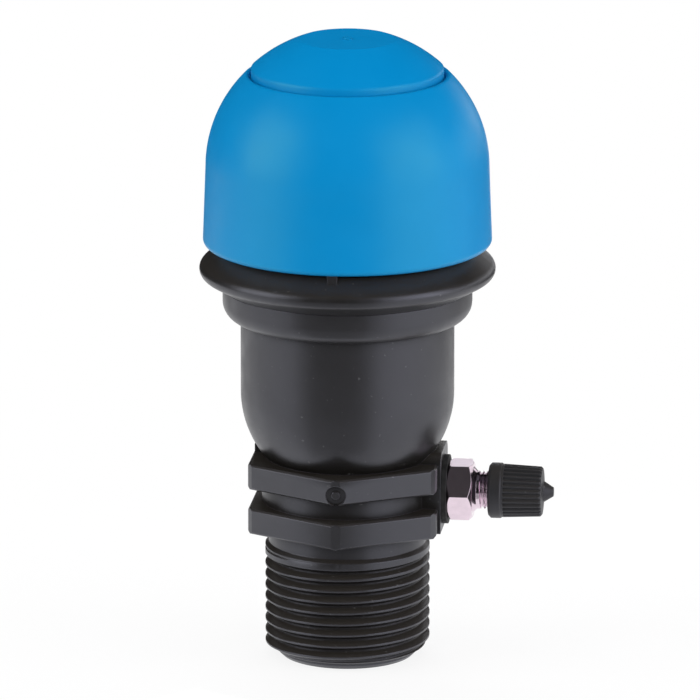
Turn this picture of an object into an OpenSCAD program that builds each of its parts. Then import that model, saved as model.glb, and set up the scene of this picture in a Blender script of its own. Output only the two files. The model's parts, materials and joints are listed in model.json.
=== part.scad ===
// Air release valve with a one inch threaded inlet, a float in a moulded bowl,
// a domed rain cover and a pressure test point between two spanner collars.
// Millimetres. Z is the valve's axis, z = 0 is the end of the inlet, X points along the test point.

/* [Inlet] */
// Outside diameter of the pipe thread
thread_d = 33.25; // [31:0.05:36]
// Length of the threaded spigot
inlet_len = 22.8; // [16:0.2:30]
// Bore of the inlet
inlet_bore = 23; // [18:0.2:24.4]
// Width of the flat ring at the end of the spigot
end_ring = 1.9; // [1.2:0.1:2.6]
// Diameter of the plain lead-in below the thread
lead_d = 28.4; // [28.3:0.05:30]
// Height of the plain lead-in
lead_h = 1.1; // [1:0.1:2]
// Height of the cone between the lead-in and the thread
lead_cone_h = 1.4; // [1:0.1:2.4]
// How far the plain neck above the thread is set in
neck_inset = 0.72; // [0.3:0.02:1.4]
// Height of the plain neck
neck_h = 4.2; // [2.5:0.1:6]

/* [Spanner collars] */
// Width across the flats of both collars
hex_af = 38; // [36:0.5:44]
// How much is turned off the corners of the hexagon
hex_trim = 0.54; // [0.2:0.02:1.2]
// Height of each collar
hex_h = 5.2; // [3.5:0.1:7]
// Height of the waist between the collars
hex_gap = 4; // [3:0.1:6]
// Diameter of the waist
waist_d = 34.6; // [31:0.2:36]
// Bevel along the edges of the collars
hex_bevel = 0.4; // [0.2:0.05:0.8]
// Diameter of the round gate mark on the upper collar's front corner
gate_d = 4; // [2:0.1:4.4]
// Depth of the gate mark
gate_depth = 0.8; // [0.3:0.1:1.5]

/* [Bowl] */
// Outside diameter of the bowl
bowl_d = 43; // [41:0.5:50]
// Radius of the bowl's round lower side
bowl_round = 21; // [18:0.5:26]
// Height of the round lower side
bowl_round_h = 13.3; // [11:0.1:15]
// Height of the straight side
bowl_wall_h = 15.1; // [10:0.1:25]
// Wall of the bowl
bowl_t = 2.5; // [2:0.1:3.2]
// How far the collar at the mouth stands out from the bowl
collar_proud = 3.6; // [2.8:0.1:5]
// Height of the collar at the mouth
collar_h = 6.6; // [5.6:0.1:10]
// Number of fins that the float stands on
fin_count = 4; // [3:1:6]
// Thickness of a fin
fin_t = 2; // [1.2:0.1:3]
// Height of the float's seat on the fins, above the upper collar
fin_h = 5.3; // [3:0.1:8]

/* [Bonnet] */
// Wall of the bonnet's tube
bonnet_t = 2.5; // [1.8:0.1:3]
// How far the tube reaches down into the bowl
bonnet_drop = 14; // [9:0.2:20]
// Radial room between the tube and the bowl
bonnet_fit = 0.1; // [0.05:0.01:0.2]
// Thickness of the saucer beside the tube
saucer_t = 3.4; // [2.6:0.1:5]
// How far the rolled rim stands out from the collar
rim_overhang = 4.65; // [3.5:0.05:7]
// Radius of the rolled rim
rim_round = 1.8; // [1.4:0.05:2.2]
// Height of the rim's centre above the collar
rim_rise = 3.7; // [3:0.05:5]
// Height of the brim inside the rim above the collar
brim_rise = 8; // [7:0.1:9]
// Width of the flat on top of the brim
brim_t = 1.6; // [1:0.1:2.4]
// Height of the orifice plate above the collar
tube_h = 18.7; // [15:0.1:22]
// Thickness of the orifice plate
plate_t = 2.5; // [1.8:0.1:3.5]
// Diameter of the hole in the orifice plate
orifice_d = 19; // [15:0.2:20]
// Number of guide ribs inside the tube
guide_count = 6; // [4:1:10]
// Thickness of a guide rib
guide_w = 1.4; // [0.8:0.1:2]
// Number of arms that carry the stem guide
arm_count = 4; // [3:1:6]
// Thickness of an arm
arm_w = 2.2; // [1.4:0.1:3]
// Height of the stem guide
guide_h = 3.2; // [2:0.1:5]
// Room under the stem guide, above the plate
guide_lift = 3.2; // [2.4:0.1:5]
// Section of the ring that seals the bonnet
o_ring_d = 2.4; // [1.8:0.1:2.8]
// Number of spacers under the dome
spacer_count = 3; // [3:1:12]
// Width of a spacer
spacer_w = 2; // [1:0.1:4]

/* [Seat seal] */
// Thickness of the seal inside the hole
seal_t = 1; // [0.7:0.1:1.6]
// Thickness of the seal's lower lip
seal_lip_t = 1.4; // [0.8:0.1:2]
// Width of the seal's lower lip beyond the hole
seal_lip_w = 3; // [1.5:0.1:3.4]
// Width of the seal's upper lip beyond the hole
seal_top_w = 1.8; // [1:0.1:2.4]

/* [Plug and float] */
// Diameter of the plug that shuts the large orifice
plug_d = 24.8; // [22:0.2:27]
// Thickness of the plug
plug_t = 3; // [2:0.1:4.5]
// Rise of the plug from open to shut
plug_travel = 8.5; // [4:0.1:9]
// Diameter of the plug's stem
stem_d = 4.2; // [3.6:0.1:5]
// Radial room between the stem and its guide
stem_clear = 0.08; // [0.05:0.01:0.1]
// Diameter of the small release hole up the stem
release_d = 1.6; // [1:0.1:2]
// Diameter of the retaining clip
clip_d = 8.4; // [7:0.1:9]
// Thickness of the retaining clip
clip_t = 1; // [0.6:0.1:1.4]
// How far the nozzle stands out below the plug
nozzle_h = 1.5; // [1:0.1:2.5]
// Diameter of the float
float_d = 26.4; // [22:0.2:29]
// Wall of the hollow float
float_t = 1.4; // [1:0.1:2]
// Height of the float's lid
lid_h = 8; // [6:0.1:12]
// Rise of the float before it meets the nozzle
float_gap = 3; // [1.5:0.1:5]
// Radial room between the float and its guide ribs
float_clear = 1; // [0.6:0.1:1.4]
// Diameter of the rubber pad on the float
pad_d = 8.8; // [7:0.1:10]
// Thickness of the rubber pad
pad_t = 2.1; // [1.5:0.1:3]

/* [Dome] */
// Height of the air gap between the brim and the dome
vent_gap = 0.8; // [0.5:0.1:2]
// How far the dome's foot is set in from the rim
dome_inset = 0.75; // [0.4:0.05:2]
// How much the dome's skirt narrows towards the shoulder
dome_draft = 0.55; // [0.2:0.01:1]
// Height of the dome's skirt
dome_skirt_h = 15.7; // [14:0.1:22]
// Radius of the dome's shoulder
dome_round = 26.5; // [25.4:0.1:28]
// Wall of the dome
dome_t = 2.4; // [2.2:0.1:2.8]
// Rounding of the dome's foot
foot_round = 1.1; // [0.6:0.1:2.2]
// Number of ribs that seat the dome on the bonnet
rib_count = 6; // [4:1:10]
// Thickness of a rib
rib_w = 1.6; // [1:0.1:2.4]
// Diameter of the inset top cap
cap_d = 38.6; // [36:0.2:40]
// Width of the groove round the top cap
groove_w = 0.35; // [0.2:0.05:1.2]
// Height of the top cap's upright edge
cap_edge_h = 2.3; // [1.9:0.05:4]
// Rise of the round that the top cap's crown is cut from, above its edge
cap_rise = 7.5; // [5:0.1:9]
// Wall of the top cap
cap_t = 2; // [1.4:0.1:2.2]
// Diameter of the flat disc on the crown
crown_d = 19; // [12:0.2:20]
// Diameter of the gate pip in the middle of the disc
pip_d = 1.8; // [1:0.1:3]
// Height of the gate pip
pip_h = 0.3; // [0.1:0.05:0.6]
// Diameter of the hole that the top cap snaps into
snap_d = 18; // [16:0.2:20]

/* [Test point] */
// Height of the test point above the middle of the waist
port_rise = 0.4; // [0:0.1:1]
// How far the test point's pad stands out from the collars
pad_proud = 0.6; // [0.4:0.1:1.5]
// Diameter of the sealing washer, and width of the pad under it
washer_d = 14; // [13.4:0.1:16]
// Thickness of the sealing washer
washer_t = 1; // [0.6:0.1:1.6]
// Height of the pad above the upper collar
pad_rise = 1.95; // [1:0.05:3]
// Diameter of the test point's shank
shank_d = 9.2; // [8.6:0.1:9.6]
// Width across the flats of the test point
tp_af = 11.1; // [10.6:0.1:11.5]
// Length of the hexagon
tp_hex_len = 5; // [4:0.1:7]
// Outside diameter of the test point's thread
tp_stem_d = 7.7; // [7.4:0.05:8]
// Length of the stem beyond the hexagon
tp_stem_len = 11; // [10.4:0.1:12.4]
// Turn of the hexagon as it was tightened
tp_turn = 30; // [0:1:60]
// Diameter of the valve core's threaded head
core_d = 5.2; // [5:0.05:5.3]
// Diameter of the valve core's lower barrel
barrel_d = 3.8; // [3.6:0.05:3.9]
// Diameter of the core's pin
pin_d = 1.4; // [1.2:0.05:1.5]
// Wire of the core's spring
wire_d = 0.35; // [0.25:0.01:0.4]
// Number of turns in the core's spring
spring_turns = 7; // [5:1:9]

/* [Dust cap] */
// Length of thread that shows below the dust cap
cap_show = 3.2; // [2.4:0.1:4]
// Length of the dust cap without its tip
dust_len = 11; // [10.6:0.1:13]
// Diameter of the band at the dust cap's mouth
dust_band_d = 11.2; // [10.8:0.1:12.4]
// Width of the band
dust_band_w = 2.7; // [1.8:0.1:3.4]
// How much the ribbed body narrows to the end, on the radius
dust_taper = 0.35; // [0.1:0.05:0.6]
// Number of ribs round the dust cap
dust_ribs = 30; // [18:1:36]
// Depth of the grooves between the ribs
dust_groove = 0.35; // [0.2:0.05:0.5]
// Length of the pointed tip
dust_tip = 2; // [1:0.1:3]
// Rise of the dust cap's coned end towards the tip
dust_cone = 0.25; // [0.1:0.05:1.2]
// Thickness of the rubber liner in the dust cap
liner_t = 0.9; // [0.6:0.1:1.2]
// Radial room between the dust cap and the stem
dust_fit = 0.1; // [0.05:0.01:0.15]

/* [Hidden] */
$fn = 96;

black_plastic = [0.13, 0.13, 0.14];
blue_plastic = [0.02, 0.42, 0.74];
white_plastic = [0.85, 0.85, 0.82];
rubber = [0.08, 0.08, 0.08];
nickel = [0.85, 0.83, 0.82];
brass = [0.75, 0.6, 0.3];
steel = [0.7, 0.7, 0.72];

// Room left between two pieces that touch without a running fit
seat_room = 0.05;
// Room left between a moving piece and its stop
stop_room = 0.1;
// Room left between the float and the fins under it
rest_room = 0.25;
// How far a cutting shape runs past the face it cuts
past = 1;

// Inlet and collars
thread_r = thread_d / 2;
bore_r = inlet_bore / 2;
end_r = bore_r + end_ring;
lead_r = lead_d / 2;
lead_edge_h = 0.8;
z_thread = lead_h + lead_cone_h;
neck_r = thread_r - neck_inset;
waist_r = waist_d / 2;
flat_turn = 60;
hex_corner_r = hex_af / 2 / cos(flat_turn / 2) - hex_trim;
z_hex_low = inlet_len + neck_h;
z_waist = z_hex_low + hex_h;
z_hex_high = z_waist + hex_gap;
z_bowl = z_hex_high + hex_h;
z_port = z_waist + hex_gap / 2 + port_rise;

// Bowl
bowl_r = bowl_d / 2;
bowl_in = bowl_r - bowl_t;
collar_r = bowl_r + collar_proud;
z_round = z_bowl + bowl_round_h;
z_collar = z_round + bowl_wall_h;
z_seat = z_collar + collar_h;
round_c = [bowl_r - bowl_round, z_round];
round_in = bowl_round - bowl_t;
z_bore_top = z_round - sqrt(round_in * round_in - pow(bore_r - round_c[0], 2));
z_rest = z_bowl + fin_h;
fin_inner_r = bore_r / 2;
fin_foot_room = 0.6;
fin_turn = 45;
gusset_w = 2.4;
gusset_inset = 0.3;
gusset_drop = 0.25;
pad_corner = 2.5;
gate_stub_r = 0.85;
gate_stub_h = 0.5;

// Bonnet
tube_r = bowl_in - bonnet_fit;
tube_in = tube_r - bonnet_t;
z_tube = z_seat - bonnet_drop;
z_plate = z_seat + tube_h;
z_plate_top = z_plate + plate_t;
z_saucer = z_seat + saucer_t;
rim_r = collar_r + rim_overhang;
rim_c = [rim_r - rim_round, z_seat + rim_rise];
z_brim = z_seat + brim_rise;
brim_room = 0.7;
hole_r = orifice_d / 2;
o_ring_seat_r = tube_r + o_ring_d + 2 * seat_room;
o_ring_seat_h = o_ring_d + seat_room;
float_r = float_d / 2;
guide_r = float_r + float_clear;
stem_r = stem_d / 2;
stem_guide_t = 2.4;
stem_guide_r = stem_r + stem_guide_t;
arm_turn = 45;
arm_seal_room = 0.8;
arm_inset = 2.4;
arm_leg_in = hole_r + seal_top_w + arm_seal_room;
arm_leg_out = tube_r - arm_inset;
arm_root_r = stem_r + stem_clear + stem_guide_t / 5;
z_guide = z_plate_top + guide_lift;
z_guide_top = z_guide + guide_h;
bead_r = 0.6;
bead_drop = 4;
z_bead = z_plate - bead_drop;
spacer_turn = 30;
spacer_bear = 0.5;

// Plug and float
z_seal = z_plate - seal_lip_t;
z_plug = z_seal - stop_room - plug_travel;
clip_r = clip_d / 2;
clip_groove = 0.55;
groove_r = stem_r - clip_groove;
z_clip = z_guide_top + stop_room;
stem_head = 1.6;
z_stem_top = z_clip + clip_t + stem_head;
nozzle_r = 3;
nozzle_shank_r = 1.9;
nozzle_bore_r = 0.6;
nozzle_land = 0.5;
nozzle_roof = 0.3;
nozzle_shank_h = plug_t - nozzle_roof;
z_nozzle = z_plug - plug_t - nozzle_h;
z_pad = z_nozzle - stop_room - float_gap;
pad_show = 0.6;
z_float_top = z_pad - pad_show;
z_float = z_rest + rest_room;
z_lid = z_float_top - lid_h;
float_edge = 4;
lid_plug_h = 3;
lid_plug_t = 1.2;

// Dome and top cap
z_dome = z_brim + vent_gap;
dome_r = rim_r - dome_inset;
brim_r = dome_r - dome_t - brim_room;
shoulder_r = dome_r - dome_draft;
z_shoulder = z_dome + dome_skirt_h;
shoulder_c = [shoulder_r - dome_round, z_shoulder];
cap_r = cap_d / 2;
pocket_r = cap_r + groove_w;
lip_round = 0.6;
lip_c_r = pocket_r + lip_round;
lip_c_z = z_shoulder + sqrt(pow(dome_round - lip_round, 2) - pow(lip_c_r - shoulder_c[0], 2));
lip_meet_r = shoulder_c[0] + dome_round * (lip_c_r - shoulder_c[0]) / (dome_round - lip_round);
groove_depth = 0.35;
z_pocket = lip_c_z - groove_depth;
rib_room = 0.15;
rib_bear = 2;
rib_foot = 2.5;
snap_r = snap_d / 2;
snap_room = 0.15;
snap_t = 1.4;
snap_hook = 0.5;
snap_hook_h = 1.2;
snap_slots = 4;
snap_slot_w = 2.4;
cap_edge_round = 0.5;
cap_ball_r = (cap_r * cap_r + cap_rise * cap_rise) / (2 * cap_rise);
z_cap_top = z_pocket + cap_edge_h + cap_rise;
cap_ball_z = z_cap_top - cap_ball_r;
z_crown = cap_ball_z + sqrt(cap_ball_r * cap_ball_r - crown_d * crown_d / 4);
cap_edge_z = cap_ball_z + sqrt(pow(cap_ball_r - cap_edge_round, 2) - pow(cap_r - cap_edge_round, 2));
cap_meet_r = cap_ball_r * (cap_r - cap_edge_round) / (cap_ball_r - cap_edge_round);

// Test point, measured along X from the valve's axis
shank_r = shank_d / 2;
shank_fit = 0.05;
x_pad = hex_af / 2 + pad_proud;
x_hex = x_pad + washer_t;
x_stem = x_hex + tp_hex_len;
x_stem_end = x_stem + tp_stem_len;
shank_set_back = 0.6;
x_shank = bore_r + shank_set_back;
tp_stem_r = tp_stem_d / 2;
tp_face_inset = 0.1;
tp_bevel_angle = 35;
stem_cone = 0.8;
core_r = core_d / 2;
barrel_r = barrel_d / 2;
core_fit = 0.05;
core_room = 0.15;
passage_r = barrel_r + core_room;
core_sink = 1;
core_head = 4.6;
core_len = 13.1;
gasket_h = 3;
x_core_end = x_stem_end - core_sink;
x_core = x_core_end - core_len;
x_gasket = x_core_end - core_head - gasket_h;
core_wall = 2.4;
core_top_wall = 1.6;
core_hollow_r = 1.5;
pin_r = pin_d / 2;
pin_room = 0.08;
pin_sink = 0.6;
pin_collar_r = 1.25;
pin_collar_h = 0.8;
x_pin_collar = x_core_end - core_top_wall - pin_collar_h - stop_room;
core_seal_r = barrel_r - core_room;
core_seal_h = 2.1;
spring_r = (pin_r + core_hollow_r) / 2 + seat_room;
spring_sides = 6;
spring_steps = 12;
x_spring = x_core + core_wall + wire_d / 2 + seat_room;
x_spring_end = x_pin_collar - wire_d / 2 - seat_room;

// Dust cap, measured along X from the valve's axis
x_dust = x_stem + cap_show;
x_dust_end = x_dust + dust_len;
dust_bore_r = tp_stem_r + dust_fit;
x_liner = x_stem_end + seat_room;
x_liner_end = x_liner + liner_t;
dust_band_r = dust_band_d / 2;
band_proud = 0.2;
dust_r = dust_band_r - band_proud;
dust_bevel = 0.5;
dust_end_bevel = 0.35;
tip_r = 2.15;
tip_end_r = 0.9;

// The point where a line from p touches the circle of radius r about c, on its left (1) or right (-1).
function touch(p, c, r, side) =
    let (
        d = norm(c - p),
        a = atan2(c[1] - p[1], c[0] - p[0]) + side * asin(r / d),
        l = sqrt(d * d - r * r)
    )
    [p[0] + l * cos(a), p[1] + l * sin(a)];

// A ring or tube about Z.
module ring(r_in, r_out, z0, z1) {
    rotate_extrude()
        translate([r_in, z0])
            square([r_out - r_in, z1 - z0]);
}

// Copies of a shape spread evenly about Z.
module spread(count, start = 0) {
    for (i = [0 : count - 1])
        rotate([0, 0, start + i * 360 / count])
            children();
}

// A plate of thickness w standing on a radius, from an outline in radius and height.
module radial_plate(w) {
    rotate([90, 0, 0])
        linear_extrude(height = w, center = true)
            children();
}

// Turns a shape built about Z so that it lies along the test point.
module along_port() {
    translate([0, 0, z_port])
        rotate([0, 90, 0])
            children();
}

// A hexagon about Z with all edges bevelled and its corners turned down to a circle.
module hex_collar(z) {
    half = hex_af / 2;
    intersection() {
        translate([0, 0, z])
            cylinder(r = hex_corner_r, h = hex_h);
        bevelled_hexagon(z, half);
    }
}

// Three bevelled slabs whose common part is the bevelled hexagon.
module bevelled_hexagon(z, half) {
    intersection() {
        slab(0, z, half);
        slab(flat_turn, z, half);
        slab(2 * flat_turn, z, half);
    }
}

// One slab between two opposite flats.
module slab(turn, z, half) {
    rotate([0, 0, turn])
        radial_plate(4 * half)
            polygon([
                [-half + hex_bevel, z],
                [half - hex_bevel, z],
                [half, z + hex_bevel],
                [half, z + hex_h - hex_bevel],
                [half - hex_bevel, z + hex_h],
                [-half + hex_bevel, z + hex_h],
                [-half, z + hex_h - hex_bevel],
                [-half, z + hex_bevel]
            ]);
}

// Half section of the body's outside: spigot, neck, waist, bowl and collar.
module body_outline() {
    polygon([
        [0, 0],
        [end_r, 0],
        [lead_r, lead_edge_h],
        [lead_r, lead_h],
        [thread_r, z_thread],
        [thread_r, inlet_len],
        [neck_r, inlet_len + neck_inset],
        [neck_r, z_hex_low + hex_h / 2],
        [waist_r, z_hex_low + hex_h / 2],
        [waist_r, z_bowl],
        [0, z_bowl]
    ]);
    intersection() {
        translate(round_c)
            circle(bowl_round);
        translate([0, z_bowl])
            square([bowl_r, bowl_round_h]);
    }
    translate([0, z_round])
        square([bowl_r, z_seat - z_round]);
    intersection() {
        translate([bowl_r, z_collar + collar_proud])
            circle(collar_proud);
        translate([0, z_collar])
            square([collar_r, collar_proud]);
    }
    translate([0, z_collar + collar_proud])
        square([collar_r, collar_h - collar_proud]);
}

// Half section of the body's inside: bore, bowl and the seat of the sealing ring.
module body_hollow() {
    translate([0, -past])
        square([bore_r, z_round + past]);
    intersection() {
        translate(round_c)
            circle(round_in);
        translate([0, z_bore_top])
            square([bowl_in, z_round - z_bore_top]);
    }
    translate([0, z_round])
        square([bowl_in, z_seat - z_round + past]);
    translate([0, z_seat - o_ring_seat_h])
        square([o_ring_seat_r, o_ring_seat_h + past]);
}

// The pad that bridges both collars under the test point.
module port_pad() {
    z_top = z_bowl + pad_rise;
    translate([0, 0, z_port])
        rotate([90, 0, 90])
            linear_extrude(height = x_pad) {
                translate([-washer_d / 2, z_hex_low - z_port])
                    square([washer_d, z_top - pad_corner - z_hex_low]);
                translate([-washer_d / 2 + pad_corner, z_hex_low - z_port])
                    square([washer_d - 2 * pad_corner, z_top - z_hex_low]);
                for (side = [-1, 1])
                    translate([side * (washer_d / 2 - pad_corner), z_top - pad_corner - z_port])
                        circle(pad_corner);
            }
}

// The gusset behind, between the upper collar and the bowl.
module back_gusset() {
    reach = hex_af / 2 - gusset_inset;
    translate([-reach, -gusset_w / 2, z_hex_high + hex_h / 2])
        cube([reach, gusset_w, hex_h / 2 + pad_rise - gusset_drop]);
}

// The round gate mark, with the stub of the gate inside.
module gate_mark() {
    translate([0, -hex_corner_r + gate_depth, z_hex_high + gate_d / 2])
        rotate([90, 0, 0])
            difference() {
                cylinder(d = gate_d, h = gate_depth + past);
                cylinder(r = gate_stub_r, h = gate_stub_h);
            }
}

module valve_body() {
    color(black_plastic) {
        difference() {
            union() {
                rotate_extrude()
                    body_outline();
                hex_collar(z_hex_low);
                hex_collar(z_hex_high);
                port_pad();
                back_gusset();
            }
            rotate_extrude()
                body_hollow();
            along_port()
                cylinder(r = shank_r + shank_fit, h = x_pad + past);
            gate_mark();
        }
        intersection() {
            spread(fin_count, fin_turn)
                translate([fin_inner_r, -fin_t / 2, z_bore_top + fin_foot_room])
                    cube([bowl_in - fin_inner_r, fin_t, z_rest - z_bore_top - fin_foot_room]);
            rotate_extrude()
                body_outline();
        }
    }
}

// Half section of the bonnet: tube, orifice plate, saucer with a sloping brim, and snap bead.
module bonnet_outline() {
    below = touch([collar_r, z_seat], rim_c, rim_round, -1);
    above = touch([brim_r, z_brim], rim_c, rim_round, 1);
    translate([tube_in, z_tube])
        square([bonnet_t, z_plate_top - z_tube]);
    translate([hole_r, z_plate])
        square([tube_r - hole_r, plate_t]);
    polygon([
        [tube_in + bonnet_t / 2, z_seat],
        [collar_r, z_seat],
        below,
        rim_c,
        above,
        [brim_r, z_brim],
        [brim_r - brim_t, z_brim],
        [brim_r - brim_t, z_saucer],
        [tube_in + bonnet_t / 2, z_saucer]
    ]);
    translate(rim_c)
        circle(rim_round);
    translate([tube_r, z_bead])
        circle(bead_r);
}

// One arm of the bridge that carries the stem guide over the orifice.
module bridge_arm() {
    radial_plate(arm_w)
        polygon([
            [arm_root_r, z_guide],
            [arm_leg_in, z_guide],
            [arm_leg_in, z_plate_top - plate_t / 2],
            [arm_leg_out, z_plate_top - plate_t / 2],
            [arm_leg_out, z_guide],
            [arm_leg_in, z_guide_top],
            [arm_root_r, z_guide_top]
        ]);
}

// One spacer on the brim, which keeps the air gap open under the dome.
module spacer() {
    spacer_in = brim_r - brim_t / 2;
    spacer_out = dome_r - dome_t + spacer_bear;
    translate([spacer_in, -spacer_w / 2, z_saucer])
        cube([spacer_out - spacer_in, spacer_w, z_dome - z_saucer]);
}

module bonnet() {
    color(black_plastic) {
        rotate_extrude()
            bonnet_outline();
        spread(guide_count)
            translate([guide_r, -guide_w / 2, z_tube])
                cube([tube_in - guide_r + bonnet_t / 2, guide_w, z_plate - bonnet_t - z_tube]);
        spread(spacer_count, spacer_turn)
            spacer();
        ring(stem_r + stem_clear, stem_guide_r, z_guide, z_guide_top);
        spread(arm_count, arm_turn)
            bridge_arm();
    }
}

module bonnet_o_ring() {
    color(rubber)
        rotate_extrude()
            translate([tube_r + seat_room + o_ring_d / 2, z_seat - o_ring_d / 2 - seat_room / 2])
                circle(d = o_ring_d);
}

// A grommet that grips both faces of the orifice plate.
module seat_seal() {
    web_r = hole_r - seat_room;
    color(rubber) {
        ring(hole_r - seal_t, web_r, z_seal, z_plate_top + seal_t);
        ring(hole_r - seal_t, hole_r + seal_lip_w, z_seal, z_plate);
        ring(hole_r - seal_t, hole_r + seal_top_w, z_plate_top, z_plate_top + seal_t);
    }
}

module kinetic_plug() {
    crown = 0.5;
    color(white_plastic)
        difference() {
            union() {
                rotate_extrude()
                    polygon([
                        [0, z_plug - plug_t],
                        [plug_d / 2 - crown, z_plug - plug_t],
                        [plug_d / 2, z_plug - plug_t + crown],
                        [plug_d / 2, z_plug],
                        [0, z_plug]
                    ]);
                translate([0, 0, z_plug - crown])
                    cylinder(r = stem_r, h = z_clip - stop_room / 2 - z_plug + crown);
                translate([0, 0, z_plug])
                    cylinder(r = groove_r, h = z_stem_top - z_plug);
                translate([0, 0, z_clip + clip_t + stop_room / 2])
                    cylinder(r = stem_r, h = z_stem_top - z_clip - clip_t - stop_room / 2);
            }
            translate([0, 0, z_plug - plug_t - past])
                cylinder(d = release_d, h = z_stem_top - z_plug + plug_t + 2 * past);
            translate([0, 0, z_plug - plug_t - past])
                cylinder(r = nozzle_shank_r + seat_room, h = nozzle_shank_h + past);
        }
}

// An open clip in the stem's groove. It stops the plug's fall on the stem guide.
module plug_clip() {
    color(steel)
        difference() {
            ring(groove_r + seat_room, clip_r, z_clip, z_clip + clip_t);
            translate([0, -groove_r, z_clip - past])
                cube([clip_r + past, 2 * groove_r, clip_t + 2 * past]);
        }
}

module release_nozzle() {
    color(brass)
        rotate_extrude()
            polygon([
                [nozzle_bore_r, z_nozzle],
                [nozzle_bore_r + nozzle_land, z_nozzle],
                [nozzle_r, z_nozzle + nozzle_h / 2],
                [nozzle_r, z_plug - plug_t],
                [nozzle_shank_r, z_plug - plug_t],
                [nozzle_shank_r, z_plug - plug_t + nozzle_shank_h],
                [nozzle_bore_r, z_plug - plug_t + nozzle_shank_h]
            ]);
}

// Half section of a can with a rounded bottom corner.
module can_outline(r, z0, z1, edge) {
    translate([0, z0])
        square([r - edge, z1 - z0]);
    translate([0, z0 + edge])
        square([r, z1 - z0 - edge]);
    translate([r - edge, z0 + edge])
        circle(edge);
}

module float_cup() {
    color(white_plastic)
        rotate_extrude()
            difference() {
                can_outline(float_r, z_float, z_lid, float_edge);
                can_outline(float_r - float_t, z_float + float_t, z_lid + past, float_edge - float_t);
            }
}

// The lid of the float, with a plug that fits the cup and a pocket for the pad.
module float_lid() {
    shoulder = 2;
    pocket_h = pad_t - pad_show;
    plug_r = float_r - float_t - seat_room;
    color(white_plastic)
        difference() {
            union() {
                rotate_extrude()
                    polygon([
                        [0, z_lid],
                        [float_r, z_lid],
                        [float_r, z_float_top - shoulder],
                        [float_r - shoulder, z_float_top],
                        [0, z_float_top]
                    ]);
                translate([0, 0, z_lid - lid_plug_h])
                    cylinder(r = plug_r, h = lid_plug_h + past);
            }
            translate([0, 0, z_lid - lid_plug_h - past])
                cylinder(r = plug_r - lid_plug_t, h = lid_plug_h + past + lid_h - pocket_h - shoulder);
            translate([0, 0, z_float_top - pocket_h])
                cylinder(r = pad_d / 2 + seat_room, h = pocket_h + past);
        }
}

module float_pad() {
    color(rubber)
        translate([0, 0, z_pad - pad_t])
            cylinder(d = pad_d, h = pad_t);
}

// Half section of the dome's outside, closed at the pocket's floor.
module dome_envelope() {
    polygon([
        [0, z_dome],
        [dome_r - foot_round, z_dome],
        [dome_r, z_dome + foot_round],
        [shoulder_r, z_shoulder],
        [0, z_shoulder]
    ]);
    intersection() {
        translate(shoulder_c)
            circle(dome_round);
        translate([0, z_shoulder])
            square([shoulder_r, z_pocket - z_shoulder]);
    }
}

// Half section of the dome's shell: skirt, shoulder, rounded lip and the floor under the top cap.
module dome_shell() {
    polygon([
        [dome_r - dome_t, z_dome],
        [dome_r - foot_round, z_dome],
        [dome_r, z_dome + foot_round],
        [shoulder_r, z_shoulder],
        [shoulder_r - dome_t, z_shoulder]
    ]);
    intersection() {
        translate([dome_r - foot_round, z_dome + foot_round])
            circle(foot_round);
        translate([dome_r - foot_round, z_dome])
            square(foot_round);
    }
    difference() {
        intersection() {
            translate(shoulder_c)
                circle(dome_round);
            translate([lip_meet_r, z_shoulder])
                square([dome_r, dome_round]);
        }
        translate(shoulder_c)
            circle(dome_round - dome_t);
    }
    translate([lip_c_r, lip_c_z])
        circle(lip_round);
    translate([pocket_r, z_pocket - dome_t])
        square([lip_meet_r - pocket_r, lip_c_z - z_pocket + dome_t]);
    translate([snap_r, z_pocket - dome_t])
        square([lip_meet_r - snap_r, dome_t]);
}

// One inner rib of the dome. Its step stands on the orifice plate and its notch snaps over the bead.
module dome_rib() {
    rib_top = z_pocket - dome_t;
    radial_plate(rib_w)
        difference() {
            polygon([
                [tube_r + rib_room, z_dome + rib_foot],
                [dome_r + dome_t, z_dome + rib_foot],
                [dome_r + dome_t, rib_top],
                [tube_r + rib_bear, rib_top],
                [tube_r - rib_bear, z_plate_top + guide_lift + guide_h],
                [tube_r - rib_bear, z_plate_top],
                [tube_r + rib_room, z_plate_top]
            ]);
            translate([tube_r, z_bead])
                circle(bead_r + rib_room);
        }
}

module dome() {
    color(blue_plastic) {
        rotate_extrude()
            dome_shell();
        intersection() {
            spread(rib_count, spacer_turn)
                dome_rib();
            rotate_extrude()
                dome_envelope();
        }
    }
}

// Half section of the top cap's outside, with its rounded edge and flat crown.
module cap_outline() {
    intersection() {
        translate([0, cap_ball_z])
            circle(cap_ball_r);
        translate([0, z_pocket])
            square([cap_meet_r, z_crown - z_pocket]);
    }
    translate([0, z_pocket])
        square([cap_r, cap_edge_z - z_pocket]);
    translate([cap_r - cap_edge_round, cap_edge_z])
        circle(cap_edge_round);
}

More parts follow.
